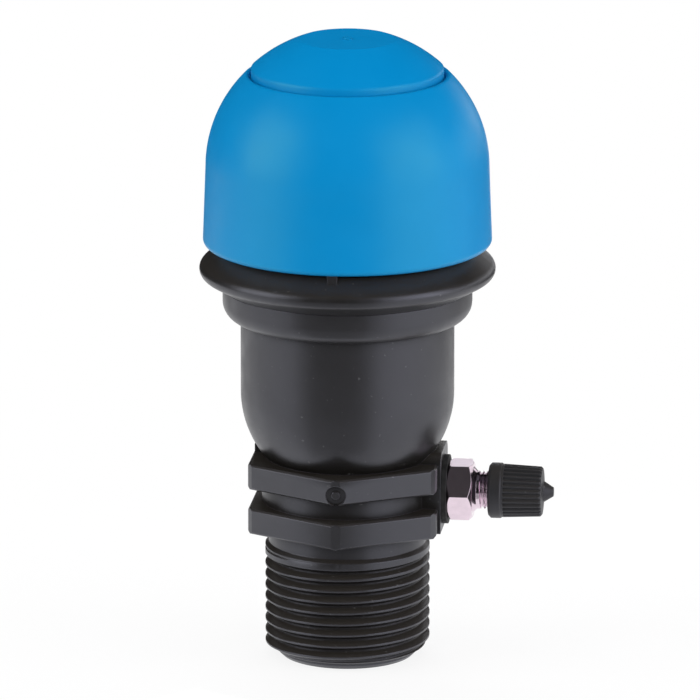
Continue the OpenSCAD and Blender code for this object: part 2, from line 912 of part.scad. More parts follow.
module top_cap() {
    hook_z = z_pocket - dome_t - seat_room;
    snap_out = snap_r - snap_room;
    color(blue_plastic)
        difference() {
            rotate_extrude() {
                difference() {
                    cap_outline();
                    intersection() {
                        translate([0, cap_ball_z])
                            circle(cap_ball_r - cap_t);
                        translate([0, z_pocket - past])
                            square([cap_r - cap_t, z_crown - cap_t - z_pocket + past]);
                    }
                }
                translate([0, z_crown - cap_t / 2])
                    square([pip_d / 2, cap_t / 2 + pip_h]);
                intersection() {
                    translate([snap_out - snap_t, hook_z - snap_hook_h])
                        square([snap_t, z_cap_top - hook_z + snap_hook_h]);
                    translate([0, cap_ball_z])
                        circle(cap_ball_r - cap_t / 2);
                }
                polygon([
                    [snap_out - snap_t / 2, hook_z - snap_hook_h],
                    [snap_out, hook_z - snap_hook_h],
                    [snap_out + snap_hook, hook_z],
                    [snap_out - snap_t / 2, hook_z]
                ]);
            }
            spread(snap_slots)
                translate([0, -snap_slot_w / 2, hook_z - snap_hook_h - past])
                    cube([snap_r + past, snap_slot_w, past + snap_hook_h + dome_t + cap_edge_h / 2]);
        }
}

module test_point_washer() {
    color(rubber)
        along_port()
            ring(shank_r + shank_fit, washer_d / 2, x_pad, x_hex);
}

// The plated fitting: shank, hexagon turned down at both ends, and the threaded stem.
module test_point_body() {
    corner_r = tp_af / 2 / cos(flat_turn / 2);
    flat_r = tp_af / 2 - tp_face_inset;
    bevel = (corner_r - flat_r) * tan(tp_bevel_angle);
    color(nickel)
        along_port()
            difference() {
                union() {
                    translate([0, 0, x_shank])
                        cylinder(r = shank_r, h = x_hex + bevel - x_shank);
                    intersection() {
                        translate([0, 0, x_hex])
                            rotate([0, 0, tp_turn])
                                cylinder(r = corner_r, h = tp_hex_len, $fn = 6);
                        rotate_extrude()
                            polygon([
                                [0, x_hex],
                                [flat_r, x_hex],
                                [corner_r, x_hex + bevel],
                                [corner_r, x_stem - bevel],
                                [flat_r, x_stem],
                                [0, x_stem]
                            ]);
                    }
                    rotate_extrude()
                        polygon([
                            [0, x_stem - bevel],
                            [tp_stem_r + stem_cone, x_stem - bevel],
                            [tp_stem_r + stem_cone, x_stem],
                            [tp_stem_r, x_stem + stem_cone],
                            [tp_stem_r, x_stem_end - stem_cone / 2],
                            [tp_stem_r - stem_cone / 2, x_stem_end],
                            [0, x_stem_end]
                        ]);
                }
                translate([0, 0, x_gasket])
                    cylinder(r = core_r + core_fit, h = x_stem_end - x_gasket + past);
                translate([0, 0, x_shank - past])
                    cylinder(r = passage_r, h = x_gasket - x_shank + 2 * past);
            }
}

// The tube of the valve core, with a head that screws into the stem.
module core_barrel() {
    color(brass)
        along_port()
            difference() {
                union() {
                    translate([0, 0, x_core])
                        cylinder(r = barrel_r, h = core_len);
                    translate([0, 0, x_core_end - core_head])
                        cylinder(r = core_r, h = core_head);
                }
                translate([0, 0, x_core - past])
                    cylinder(r = pin_r + pin_room, h = core_len + 2 * past);
                translate([0, 0, x_core + core_wall])
                    cylinder(r = core_hollow_r, h = core_len - core_wall - core_top_wall);
            }
}

module core_gasket() {
    color(rubber)
        along_port()
            ring(barrel_r + seat_room, core_r, x_gasket, x_gasket + gasket_h);
}

module core_pin() {
    x_low = x_core - stop_room - core_seal_h;
    color(brass)
        along_port() {
            translate([0, 0, x_low])
                cylinder(r = pin_r, h = x_stem_end - pin_sink - x_low);
            translate([0, 0, x_pin_collar])
                cylinder(r = pin_collar_r, h = pin_collar_h);
        }
}

module core_seal() {
    color(rubber)
        along_port()
            ring(pin_r + seat_room, core_seal_r, x_core - stop_room - core_seal_h, x_core - stop_room);
}

// The core's spring, a round wire swept along a helix.
module core_spring() {
    rings = spring_turns * spring_steps;
    rise = x_spring_end - x_spring;
    points = [
        for (i = [0 : rings], k = [0 : spring_sides - 1])
            let (
                turn = 360 * spring_turns * i / rings,
                side = 360 * k / spring_sides,
                r = spring_r + wire_d / 2 * cos(side)
            )
            [r * cos(turn), r * sin(turn), x_spring + rise * i / rings + wire_d / 2 * sin(side)]
    ];
    sides = [
        for (i = [0 : rings - 1], k = [0 : spring_sides - 1])
            let (
                a = i * spring_sides + k,
                b = i * spring_sides + (k + 1) % spring_sides
            )
            [a, a + spring_sides, b + spring_sides, b]
    ];
    first = [for (k = [0 : spring_sides - 1]) k];
    last = [for (k = [spring_sides - 1 : -1 : 0]) rings * spring_sides + k];
    color(steel)
        along_port()
            polyhedron(points = points, faces = concat(sides, [first, last]));
}

// The ribbed dust cap with its band and pointed tip.
module dust_cap() {
    ribs_from = x_dust + dust_band_w;
    rib_len = x_dust_end - ribs_from;
    lean = atan(dust_taper / rib_len);
    color(black_plastic)
        along_port()
            difference() {
                rotate_extrude()
                    polygon([
                        [0, x_dust],
                        [dust_band_r - dust_bevel, x_dust],
                        [dust_band_r, x_dust + dust_bevel],
                        [dust_band_r, ribs_from - dust_bevel / 2],
                        [dust_r, ribs_from],
                        [dust_r - dust_taper, x_dust_end - dust_cone - dust_end_bevel],
                        [dust_r - dust_taper - dust_end_bevel, x_dust_end - dust_cone],
                        [tip_r, x_dust_end],
                        [tip_end_r, x_dust_end + dust_tip],
                        [0, x_dust_end + dust_tip]
                    ]);
                translate([0, 0, x_dust - past])
                    cylinder(r = dust_bore_r, h = x_liner_end - x_dust + past);
                spread(dust_ribs)
                    translate([dust_r, 0, ribs_from + dust_groove])
                        rotate([0, -lean, 0])
                            rotate([0, 0, 45])
                                translate([-dust_groove, -dust_groove, 0])
                                    cube([2 * dust_groove, 2 * dust_groove, rib_len + past]);
            }
}

module dust_cap_liner() {
    color(rubber)
        along_port()
            translate([0, 0, x_liner])
                cylinder(r = dust_bore_r - seat_room, h = liner_t);
}

valve_body();
bonnet();
bonnet_o_ring();
seat_seal();
kinetic_plug();
plug_clip();
release_nozzle();
float_cup();
float_lid();
float_pad();
dome();
top_cap();
test_point_washer();
test_point_body();
core_barrel();
core_gasket();
core_pin();
core_seal();
core_spring();
dust_cap();
dust_cap_liner();
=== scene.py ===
# %% [markdown]
# # An air release valve
# The valve sits on a pipe line. Its black body screws into a fitting on the pipe, a float works
# inside the bowl, and a blue dome keeps rain off the opening where the air leaves. The solids
# were drawn first, so every size is already right. What is left for this lesson is a camera,
# light, the finishes, and the screw threads, which are too fine to be worth drawing as solids.

# %% Load the solids
import json
import math

import bmesh
import bpy
from mathutils import Matrix, Vector


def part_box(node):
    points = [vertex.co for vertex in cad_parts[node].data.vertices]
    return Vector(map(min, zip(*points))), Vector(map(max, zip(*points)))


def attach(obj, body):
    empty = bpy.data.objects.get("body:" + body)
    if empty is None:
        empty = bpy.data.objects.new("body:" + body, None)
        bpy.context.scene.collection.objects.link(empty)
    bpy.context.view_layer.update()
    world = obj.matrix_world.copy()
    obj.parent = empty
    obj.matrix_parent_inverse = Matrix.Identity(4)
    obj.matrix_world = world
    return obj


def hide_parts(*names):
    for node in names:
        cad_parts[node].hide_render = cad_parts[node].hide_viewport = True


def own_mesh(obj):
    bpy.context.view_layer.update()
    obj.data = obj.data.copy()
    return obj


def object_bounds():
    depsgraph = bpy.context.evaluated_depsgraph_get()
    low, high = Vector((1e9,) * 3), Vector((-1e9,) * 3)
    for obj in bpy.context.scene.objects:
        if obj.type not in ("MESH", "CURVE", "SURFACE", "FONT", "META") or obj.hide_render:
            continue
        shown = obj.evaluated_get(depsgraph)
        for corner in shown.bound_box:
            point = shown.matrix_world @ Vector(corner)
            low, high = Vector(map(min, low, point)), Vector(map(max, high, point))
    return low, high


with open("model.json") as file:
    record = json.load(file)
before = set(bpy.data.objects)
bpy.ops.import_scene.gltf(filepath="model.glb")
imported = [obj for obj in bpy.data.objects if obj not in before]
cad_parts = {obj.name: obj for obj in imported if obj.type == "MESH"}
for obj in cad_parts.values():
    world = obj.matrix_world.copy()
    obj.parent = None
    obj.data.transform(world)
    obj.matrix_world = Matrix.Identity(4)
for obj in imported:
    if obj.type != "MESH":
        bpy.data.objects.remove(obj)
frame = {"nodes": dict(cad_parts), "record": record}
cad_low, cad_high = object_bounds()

MM = 0.001
nodes = frame["nodes"]
size_mm = [round(x / MM, 1) for x in cad_high - cad_low]
print("pieces:", len(nodes), "overall size in mm:", size_mm)

# %% [markdown]
# ## The camera
# The portrait was taken from a little above and a little to the right, through a long lens, so
# upright edges stay upright and the rings show as flat ovals. A long lens is copied by standing
# two metres away and making the field of view as narrow as the picture was wide. The camera
# could also be placed by eye, but a few measured numbers give the same view every time.

# %% Set up the camera
VIEW_TURN = math.radians(6.5)
VIEW_RISE = math.radians(14.6)
VIEW_DISTANCE = 2.0
VIEW_LIMIT = 20
PICTURE_WIDTH = 140.8 * MM
AIM_HEIGHT = 62.9 * MM
AIM_RIGHT = 0.5 * MM


def way_out(turn, rise):
    """The direction away from the valve, turned from the front and raised, both in radians."""
    level = math.cos(rise)
    return Vector((math.sin(turn) * level, -math.cos(turn) * level, math.sin(rise)))


def stand_facing(thing, target, away):
    """Stands a camera, lamp or card away from a target and turns its front to it."""
    thing.location = target + away
    thing.rotation_mode = "QUATERNION"
    thing.rotation_quaternion = (-away).to_track_quat("-Z", "Y")


picture_right = Vector((math.cos(VIEW_TURN), math.sin(VIEW_TURN), 0))
aim = Vector((0, 0, AIM_HEIGHT)) + picture_right * AIM_RIGHT

camera = bpy.data.objects.new("portrait_camera", bpy.data.cameras.new("portrait_lens"))
camera.data.lens = camera.data.sensor_width * VIEW_DISTANCE / PICTURE_WIDTH
camera.data.clip_end = VIEW_LIMIT
stand_facing(camera, aim, way_out(VIEW_TURN, VIEW_RISE) * VIEW_DISTANCE)
bpy.context.scene.collection.objects.link(camera)
bpy.context.scene.camera = camera
print("lens in mm:", round(camera.data.lens), "camera at", [round(x, 3) for x in camera.location])

# %% [markdown]
# ## Paper that stays white
# The valve stands on a white table without an edge. Its paper glows with a strength of one, but
# only for rays that come straight from the camera or by way of a mirror or glass, so the glow
# adds no light to the valve. Close to the valve a part of the paper is ordinary matt white
# instead, and that part takes the soft shadow that makes the valve stand. A brighter lamp would
# also turn the table white, but it would bleach the valve as well.

# %% Mix the white paper
FLOOR_WHITE = 0.92
SHADOW_NEAR = 0.05
SHADOW_FAR = 0.22
NEAR_GLOW = 0.85


def join(tree, from_socket, to_socket):
    """Draws one wire between two node sockets."""
    tree.links.new(from_socket, to_socket)


def combine(tree, operation, first, second):
    """Works out one value from two others."""
    sums = tree.nodes.new("ShaderNodeMath")
    sums.operation = operation
    join(tree, first, sums.inputs[0])
    join(tree, second, sums.inputs[1])
    return sums.outputs[0]


def seen_directly(tree):
    """A value of 1 for camera, mirror and see-through rays, and 0 for rays that carry light."""
    ray = tree.nodes.new("ShaderNodeLightPath").outputs
    either = combine(tree, "MAXIMUM", ray["Is Camera Ray"], ray["Is Glossy Ray"])
    return combine(tree, "MAXIMUM", either, ray["Is Transmission Ray"])


def paper_white_floor():
    """Plain glowing white, with a share of matt white near the valve for its shadow."""
    paper = bpy.data.materials.new("white_table")
    paper.use_nodes = True
    tree = paper.node_tree
    tree.nodes.clear()
    matt = tree.nodes.new("ShaderNodeBsdfDiffuse")
    matt.inputs["Color"].default_value = (FLOOR_WHITE, FLOOR_WHITE, FLOOR_WHITE, 1)
    glow = tree.nodes.new("ShaderNodeEmission")
    place = tree.nodes.new("ShaderNodeTexCoord")
    away = tree.nodes.new("ShaderNodeVectorMath")
    away.operation = "LENGTH"
    fade = tree.nodes.new("ShaderNodeMapRange")
    fade.interpolation_type = "SMOOTHSTEP"
    fade.inputs["From Min"].default_value = SHADOW_NEAR
    fade.inputs["From Max"].default_value = SHADOW_FAR
    fade.inputs["To Min"].default_value = NEAR_GLOW
    mix = tree.nodes.new("ShaderNodeMixShader")
    out = tree.nodes.new("ShaderNodeOutputMaterial")
    join(tree, place.outputs["Object"], away.inputs[0])
    join(tree, away.outputs["Value"], fade.inputs["Value"])
    glowing = combine(tree, "MULTIPLY", fade.outputs["Result"], seen_directly(tree))
    join(tree, glowing, mix.inputs["Fac"])
    join(tree, matt.outputs[0], mix.inputs[1])
    join(tree, glow.outputs[0], mix.inputs[2])
    join(tree, mix.outputs[0], out.inputs["Surface"])
    return paper


white_paper = paper_white_floor()
print("paper nodes:", len(white_paper.node_tree.nodes), "shadow kept to", SHADOW_FAR / MM, "mm")

# %% [markdown]
# ## The floor
# One flat sheet is enough for the table, because the paper takes care of its far edge. A curved
# backdrop is what a photographer would use, but with paper that is white by itself it would look
# the same.

# %% Lay the floor
FLOOR_HALF = 4.0


def flat_card(name, half_width, half_height):
    """A flat rectangular sheet about its own centre."""
    corners = [(-1, -1), (1, -1), (1, 1), (-1, 1)]
    sheet = bpy.data.meshes.new(name)
    sheet.from_pydata([(x * half_width, y * half_height, 0) for x, y in corners], [], [(0, 1, 2, 3)])
    card = bpy.data.objects.new(name, sheet)
    bpy.context.scene.collection.objects.link(card)
    return card


floor = flat_card("white_floor", FLOOR_HALF, FLOOR_HALF)
floor.data.materials.append(white_paper)
print("floor:", 2 * FLOOR_HALF, "m square")

# %% [markdown]
# ## The room
# Behind everything the room is as white as the paper, for the camera and for mirrors. As a lamp
# it adds very little: light from all sides would lay a pale veil over the blue plastic.

# %% Paint the room
ROOM_LIGHT = 0.15

world = bpy.data.worlds.new("white_room")
world.use_nodes = True
bpy.context.scene.world = world
sky = world.node_tree
sky.nodes.clear()
room = sky.nodes.new("ShaderNodeBackground")
room.inputs["Strength"].default_value = ROOM_LIGHT
backdrop = sky.nodes.new("ShaderNodeBackground")
pick = sky.nodes.new("ShaderNodeMixShader")
sky_out = sky.nodes.new("ShaderNodeOutputWorld")
for background in (room, backdrop):
    background.inputs["Color"].default_value = (1, 1, 1, 1)
join(sky, seen_directly(sky), pick.inputs["Fac"])
join(sky, room.outputs[0], pick.inputs[1])
join(sky, backdrop.outputs[0], pick.inputs[2])
join(sky, pick.outputs[0], sky_out.inputs["Surface"])
bpy.context.scene.view_settings.view_transform = "Standard"
print("room light:", ROOM_LIGHT)

# %% [markdown]
# ## Soft boxes
# Two large soft boxes stand left and right of the valve. Their mirror images make the two pale
# patches on the dome and the light sides of the bowl. The right one has a trace of blue. A bare
# bulb would give small hard sparks instead, which satin plastic under studio light doesn't show.

# %% Stand up the soft boxes
LAMP_DISTANCE = 0.95
BOX_BRIGHTNESS = 2.1
LEFT_BOX_SIZE = (0.75, 0.75)
RIGHT_BOX_SIZE = (0.85, 0.80)
RIGHT_BOX_COLOUR = (0.9, 0.9, 0.95)


def soft_box(name, turn, rise, size, brightness, mirrored=True, colour=(1, 1, 1)):
    """An evenly lit rectangle that faces the valve, in degrees from the camera's side."""
    width, height = size
    lamp = bpy.data.lights.new(name, "AREA")
    lamp.color = colour
    lamp.shape = "RECTANGLE"
    lamp.size, lamp.size_y = width, height
    lamp.energy = brightness * math.pi * width * height
    box = bpy.data.objects.new(name, lamp)
    bpy.context.scene.collection.objects.link(box)
    away = way_out(VIEW_TURN + math.radians(turn), math.radians(rise))
    stand_facing(box, aim, away * LAMP_DISTANCE)
    box.visible_camera = False
    box.visible_glossy = mirrored
    lamp.cycles.use_multiple_importance_sampling = mirrored


soft_box("soft_box_left", turn=-71, rise=20, size=LEFT_BOX_SIZE, brightness=BOX_BRIGHTNESS)
soft_box(
    "soft_box_right", turn=57, rise=18, size=RIGHT_BOX_SIZE, brightness=BOX_BRIGHTNESS,
    colour=RIGHT_BOX_COLOUR)
print("soft boxes stand", LAMP_DISTANCE, "m away")

# %% [markdown]
# ## Fill lamps
# Five fill lamps, on all sides and above, give an even light without a mirror image, as lamps
# behind a cloth would. The soft boxes draw the highlights, and these lamps set how light each
# side of the valve is between them, so their brightness is chosen lamp by lamp.

# %% Add the fill lamps
FRONT, BEHIND, LEFT, RIGHT = 0, 180, -90, 90
FRONT_RISE = 18
FILL_RISE = 36
OVERHEAD = 90
FILL_SIZE = (1.0, 0.7)
ROOF_SIZE = (1.0, 1.0)
FRONT_FILL = 2.06
BACK_FILL = 2.4
SIDE_FILL = 1.3
ROOF_FILL = 0.6

for name, turn, rise, size, brightness in (
    ("front_fill", FRONT, FRONT_RISE, FILL_SIZE, FRONT_FILL),
    ("back_fill", BEHIND, FILL_RISE, FILL_SIZE, BACK_FILL),
    ("left_fill", LEFT, FILL_RISE, FILL_SIZE, SIDE_FILL),
    ("right_fill", RIGHT, FILL_RISE, FILL_SIZE, SIDE_FILL),
    ("roof_fill", FRONT, OVERHEAD, ROOF_SIZE, ROOF_FILL),
):
    soft_box(name, turn, rise, size, brightness, mirrored=False)

# %% [markdown]
# ## Cloth for the mirrors
# Shiny things mirror whatever stands round them, so photographers hang black cloth where
# nothing should be mirrored. A cloth here is a line swept round the valve, lying on the floor
# or standing as a wall. The camera doesn't see it and it casts no shadow, but the valve mirrors
# it, and it swallows light that would bounce off the floor and the room. Dimmer lamps would
# darken the mirror images too, but with them everything else.

# %% Make the cloth
CLOTH_LIFT = 1 * MM
CLOTH_STEP = 6
WALL_REACH = 1.3


def plain_finish(name, shade):
    """A matt grey for cloth and cards that the camera doesn't see."""
    finish = bpy.data.materials.new(name)
    finish.use_nodes = True
    shader = finish.node_tree.nodes["Principled BSDF"]
    shader.inputs["Base Color"].default_value = (shade, shade, shade, 1)
    shader.inputs["Roughness"].default_value = 1.0
    shader.inputs["Specular IOR Level"].default_value = 0.0
    return finish


def keep_out_of_sight(thing, finish):
    """Keeps a piece of the studio out of the picture and out of the shadows."""
    thing.data.materials.append(finish)
    thing.visible_camera = False
    thing.visible_shadow = False


def hang_cloth(name, first_turn, last_turn, profile, finish):
    """Sweeps a line of (reach, height) points round the valve, in degrees from the camera's side."""
    corners, patches = [], []
    for turn in range(first_turn, last_turn + 1, CLOTH_STEP):
        out = way_out(VIEW_TURN + math.radians(turn), 0)
        corners += [(reach * out.x, reach * out.y, height) for reach, height in profile]
    count = len(profile)
    for k in range((last_turn - first_turn) // CLOTH_STEP):
        for i in range(k * count, k * count + count - 1):
            patches.append((i, i + 1, i + count + 1, i + count))
    sheet = bpy.data.meshes.new(name)
    sheet.from_pydata(corners, [], patches)
    cloth = bpy.data.objects.new(name, sheet)
    bpy.context.scene.collection.objects.link(cloth)
    keep_out_of_sight(cloth, finish)


black = plain_finish("black_cloth", shade=0.03)
grey = plain_finish("grey_cloth", shade=0.36)
print("cloth:", black.name, "and", grey.name)

# %% [markdown]
# ## Cloth on the floor
# Black cloth lies on the floor all round, at a different distance on each side, and sets how far
# up the bowl and the rim the white floor is mirrored. It comes closest on the camera's side,
# which keeps the middle of the bowl deep. Near the valve that side has grey cloth instead, so the
# lower curves keep a faint shine.

# %% Lay the floor cloth
FRONT_LEFT, FRONT_RIGHT = -48, 24
BACK_LEFT, BACK_RIGHT = -132, 108
GREY_NEAR = 0.04
GREY_FAR = 0.28
RIGHT_CLEAR = 0.7
RIGHT_BACK_CLEAR = 0.3
LEFT_CLEAR = 0.5
LEFT_BACK_CLEAR = 0.34


def floor_line(near, far=WALL_REACH):
    """A cloth that lies on the floor between two distances."""
    return [(near, CLOTH_LIFT), (far, CLOTH_LIFT)]


hang_cloth("floor_front_near", FRONT_LEFT, FRONT_RIGHT, floor_line(GREY_NEAR, GREY_FAR), grey)
for name, first_turn, last_turn, near in (
    ("floor_front_far", FRONT_LEFT, FRONT_RIGHT, GREY_FAR),
    ("floor_right", FRONT_RIGHT, BACK_RIGHT, RIGHT_CLEAR),
    ("floor_right_back", BACK_RIGHT, BEHIND, RIGHT_BACK_CLEAR),
    ("floor_left", BACK_LEFT, FRONT_LEFT, LEFT_CLEAR),
    ("floor_left_back", -BEHIND, BACK_LEFT, LEFT_BACK_CLEAR),
):
    hang_cloth(name, first_turn, last_turn, floor_line(near), black)
print("floor cloth in front from", GREY_NEAR, "m, black from", GREY_FAR, "m")

# %% [markdown]
# ## Walls and a roof
# Black walls and a black roof stand round the lamps, so that the white room isn't mirrored from
# above. On the right they start higher and leave a slit over the floor, so that the right edges
# of the black pieces mirror a strip of the white room.

# %% Hang the walls
WALL_TOP = 1.7
ROOF_EYE = 0.01
SLIT_TOP = 0.42
SLIT_FROM, SLIT_TO = 66, 156
FULL_TURN = 360


def wall_line(foot):
    """A wall that starts at a height, and the roof over it."""
    return [(WALL_REACH, foot), (WALL_REACH, WALL_TOP), (ROOF_EYE, WALL_TOP)]


hang_cloth("wall_all_round", SLIT_TO - FULL_TURN, SLIT_FROM, wall_line(CLOTH_LIFT), black)
hang_cloth("wall_with_slit", SLIT_FROM, SLIT_TO, wall_line(SLIT_TOP), black)
print("walls:", WALL_TOP, "m high, slit of", SLIT_TO - SLIT_FROM, "degrees")

# %% [markdown]
# ## Cards for the metal
# Flat facets of bright metal each mirror one small part of the room. A white card behind the
# test point gives the top of its hexagon something bright to mirror, and a dark grey card, in
# front and high up, gives the facet on the camera's side something faint. A photographer moves
# such cards about by hand until each facet looks right.

# %% Place two cards
FACET_REACH = 3.4 * MM
WHITE_CARD_HALF = (40 * MM, 25 * MM)
WHITE_CARD_BACK = 110 * MM
WHITE_CARD_UP = 31 * MM
DARK_CARD_HALF = (0.3, 0.3)
DARK_CARD_OUT = 0.7

washer_low, washer_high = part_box("test_point_washer")
port_height = (washer_low.z + washer_high.z) / 2
hexagon_at = Vector((washer_high.x + FACET_REACH, 0, port_height))
forwards = way_out(VIEW_TURN, 0)
upwards = Vector((0, 0, 1))


def mirror_card(name, half_size, away, finish):
    """A card that faces the metal fitting from a place away from it."""
    card = flat_card(name, *half_size)
    stand_facing(card, hexagon_at, away)
    keep_out_of_sight(card, finish)


white = plain_finish("white_card", shade=0.9)
dark = plain_finish("dark_card", shade=0.075)
behind_hexagon = upwards * WHITE_CARD_UP - forwards * WHITE_CARD_BACK
mirror_card("top_facet_card", WHITE_CARD_HALF, behind_hexagon, white)
mirror_card("front_facet_card", DARK_CARD_HALF, (upwards + forwards) * DARK_CARD_OUT, dark)

# %% [markdown]
# ## Tools for the finishes
# Every finish starts from the same shader and gets three things that no real surface lacks: a
# colour that wanders a little, a gloss that is uneven, and a fine relief. All come from noise
# that is measured in millimetres in the valve's own space, so the grain has the same size on
# every piece. Painted pictures could do the same, but would have to be wrapped round each piece.


# %% Start a finish
def start_finish(name, **sockets):
    """A material with one shader; what is the same all over goes on the shader's own sockets."""
    finish = bpy.data.materials.new(name)
    finish.use_nodes = True
    shader = finish.node_tree.nodes["Principled BSDF"]
    for socket, value in sockets.items():
        shader.inputs[socket.replace("_", " ")].default_value = value
    return finish, finish.node_tree, shader


def noise(tree, feature_mm, detail=2.0, stretch=(1, 1, 1)):
    """Noise whose blotches are about feature_mm across, in the piece's own space."""
    place = tree.nodes.new("ShaderNodeTexCoord")
    scaled = tree.nodes.new("ShaderNodeVectorMath")
    scaled.operation = "MULTIPLY"
    scaled.inputs[1].default_value = stretch
    blotches = tree.nodes.new("ShaderNodeTexNoise")
    blotches.inputs["Scale"].default_value = 1 / (feature_mm * MM)
    blotches.inputs["Detail"].default_value = detail
    join(tree, place.outputs["Object"], scaled.inputs[0])
    join(tree, scaled.outputs[0], blotches.inputs["Vector"])
    return blotches.outputs["Fac"]


def between(tree, factor, low, high, start=0.3, end=0.7):
    """Turns a factor that runs from start to end into a number between low and high."""
    spread = tree.nodes.new("ShaderNodeMapRange")
    for socket, value in (("From Min", start), ("From Max", end), ("To Min", low), ("To Max", high)):
        spread.inputs[socket].default_value = value
    join(tree, factor, spread.inputs["Value"])
    return spread.outputs["Result"]


def tint(tree, factor, first, second):
    """Mixes two colours, or a socket and a colour, by a factor."""
    blend = tree.nodes.new("ShaderNodeMix")
    blend.data_type = "RGBA"
    join(tree, factor, blend.inputs["Factor"])
    # A mix node has one set of sockets for each kind of data. These three are the colour ones.
    first_socket, second_socket, mixed = blend.inputs[6], blend.inputs[7], blend.outputs[2]
    for socket, colour in ((first_socket, first), (second_socket, second)):
        if isinstance(colour, bpy.types.NodeSocket):
            join(tree, colour, socket)
        else:
            socket.default_value = (*colour, 1)
    return mixed


def mottled(tree, feature_mm, first, second):
    """A colour that wanders between two shades."""
    return tint(tree, between(tree, noise(tree, feature_mm, detail=3), 0, 1), first, second)


def relief(tree, height, depth_mm, strength, normal):
    """Raises and lowers the surface by depth_mm, on top of the given direction."""
    bump = tree.nodes.new("ShaderNodeBump")
    bump.inputs["Strength"].default_value = strength
    bump.inputs["Distance"].default_value = depth_mm * MM
    join(tree, height, bump.inputs["Height"])
    join(tree, normal, bump.inputs["Normal"])
    return bump.outputs["Normal"]


print("tools for colour, gloss and relief ready")

# %% [markdown]
# ## Edges, corners and tops
# Edges are rounded by a hair with the bevel node, because no moulded or turned edge is
# perfectly sharp, and a rounded edge is what catches the light. Three more tools find the
# edges that hands rub, the grooves and corners that get painted shade, and the faces that
# look up, which get dust and painted top light. Such wear and shade could be painted by hand,
# but then it would have to be painted again for every piece.

# %% Find edges, corners and tops
EDGE_SAMPLES = 6
PAINTED_SHADE_SAMPLES = 8


def rounded_normal(tree, round_mm):
    """The surface direction with every edge rounded off by round_mm."""
    edge = tree.nodes.new("ShaderNodeBevel")
    edge.samples = EDGE_SAMPLES
    edge.inputs["Radius"].default_value = round_mm * MM
    return edge.outputs["Normal"]


def edge_wear(tree, rounded, start, end):
    """1 on edges and 0 on faces, from how far the rounded direction leans from the plain one."""
    surface = tree.nodes.new("ShaderNodeNewGeometry")
    lean = tree.nodes.new("ShaderNodeVectorMath")
    lean.operation = "DOT_PRODUCT"
    join(tree, rounded, lean.inputs[0])
    join(tree, surface.outputs["Normal"], lean.inputs[1])
    return between(tree, lean.outputs["Value"], 1, 0, start, end)


def openness_for_painted_shade(tree, reach_mm):
    """1 where a piece lies open, towards 0 down in its own grooves and corners; this sets the painted
    shade.
    """
    sheltered = tree.nodes.new("ShaderNodeAmbientOcclusion")
    sheltered.samples = PAINTED_SHADE_SAMPLES
    sheltered.only_local = True
    sheltered.inputs["Distance"].default_value = reach_mm * MM
    return sheltered.outputs["AO"]


def facing_up(tree):
    """1 on faces that look straight up and 0 on upright walls."""
    surface = tree.nodes.new("ShaderNodeNewGeometry")
    parts = tree.nodes.new("ShaderNodeSeparateXYZ")
    join(tree, surface.outputs["Normal"], parts.inputs[0])
    return parts.outputs["Z"]


print("tools for edges, corners and tops ready")

# %% [markdown]
# ## Moulded plastics
# The body and the bonnet are black polypropylene, and the dome and its cap are the same plastic
# in bright blue. The dust cap is black too, and the float and the plug inside are natural white.
# Moulded plastic copies the mould's fine grain, so it is satin rather than glossy, and thick
# walls sink a little as they cool. Dust shows on the black pieces as a few pale specks, and their
# faces that look up get a thin pale veil, which is dust and painted top light together. Edges are
# rubbed lighter and smoother by handling, and grooves and corners get painted shade: their gloss
# is turned down there. One plain colour would be quicker, but would look like a drawing.

# %% Mix a moulded plastic
# Share of the gloss left in grooves and corners, where the painted shade goes.
GLOSS_IN_PAINTED_SHADE = 0.08
PAINTED_SHADE_REACH_MM = 6
EDGE_POLISH = 0.16
SHADE_PATCH_MM = 9
GLOSS_PATCH_MM = 5
GRAIN_MM = 0.22
SINK_MM = 14
SPECK_MM = 0.9
SPECK_COLOUR = (0.5, 0.5, 0.5)
# The veil on faces that look up is dust and painted top light together.
TOP_LIGHT_AND_DUST = 0.035
TOP_LIGHT_AND_DUST_COLOUR = (0.45, 0.38, 0.31)


def specks_and_top_light(tree, clean, specks):
    """Lays pale dust specks over a colour, and on faces that look up a thin veil of dust and painted top
    light.
    """
    speckle = between(tree, noise(tree, SPECK_MM, detail=1), 0, specks, start=0.745, end=0.78)
    # Painted light: faces that look up get a thin pale veil, which is dust and painted top light
    # together.
    veil = between(tree, facing_up(tree), 0, TOP_LIGHT_AND_DUST, start=0.3, end=0.9)
    return tint(tree, veil, tint(tree, speckle, clean, SPECK_COLOUR), TOP_LIGHT_AND_DUST_COLOUR)


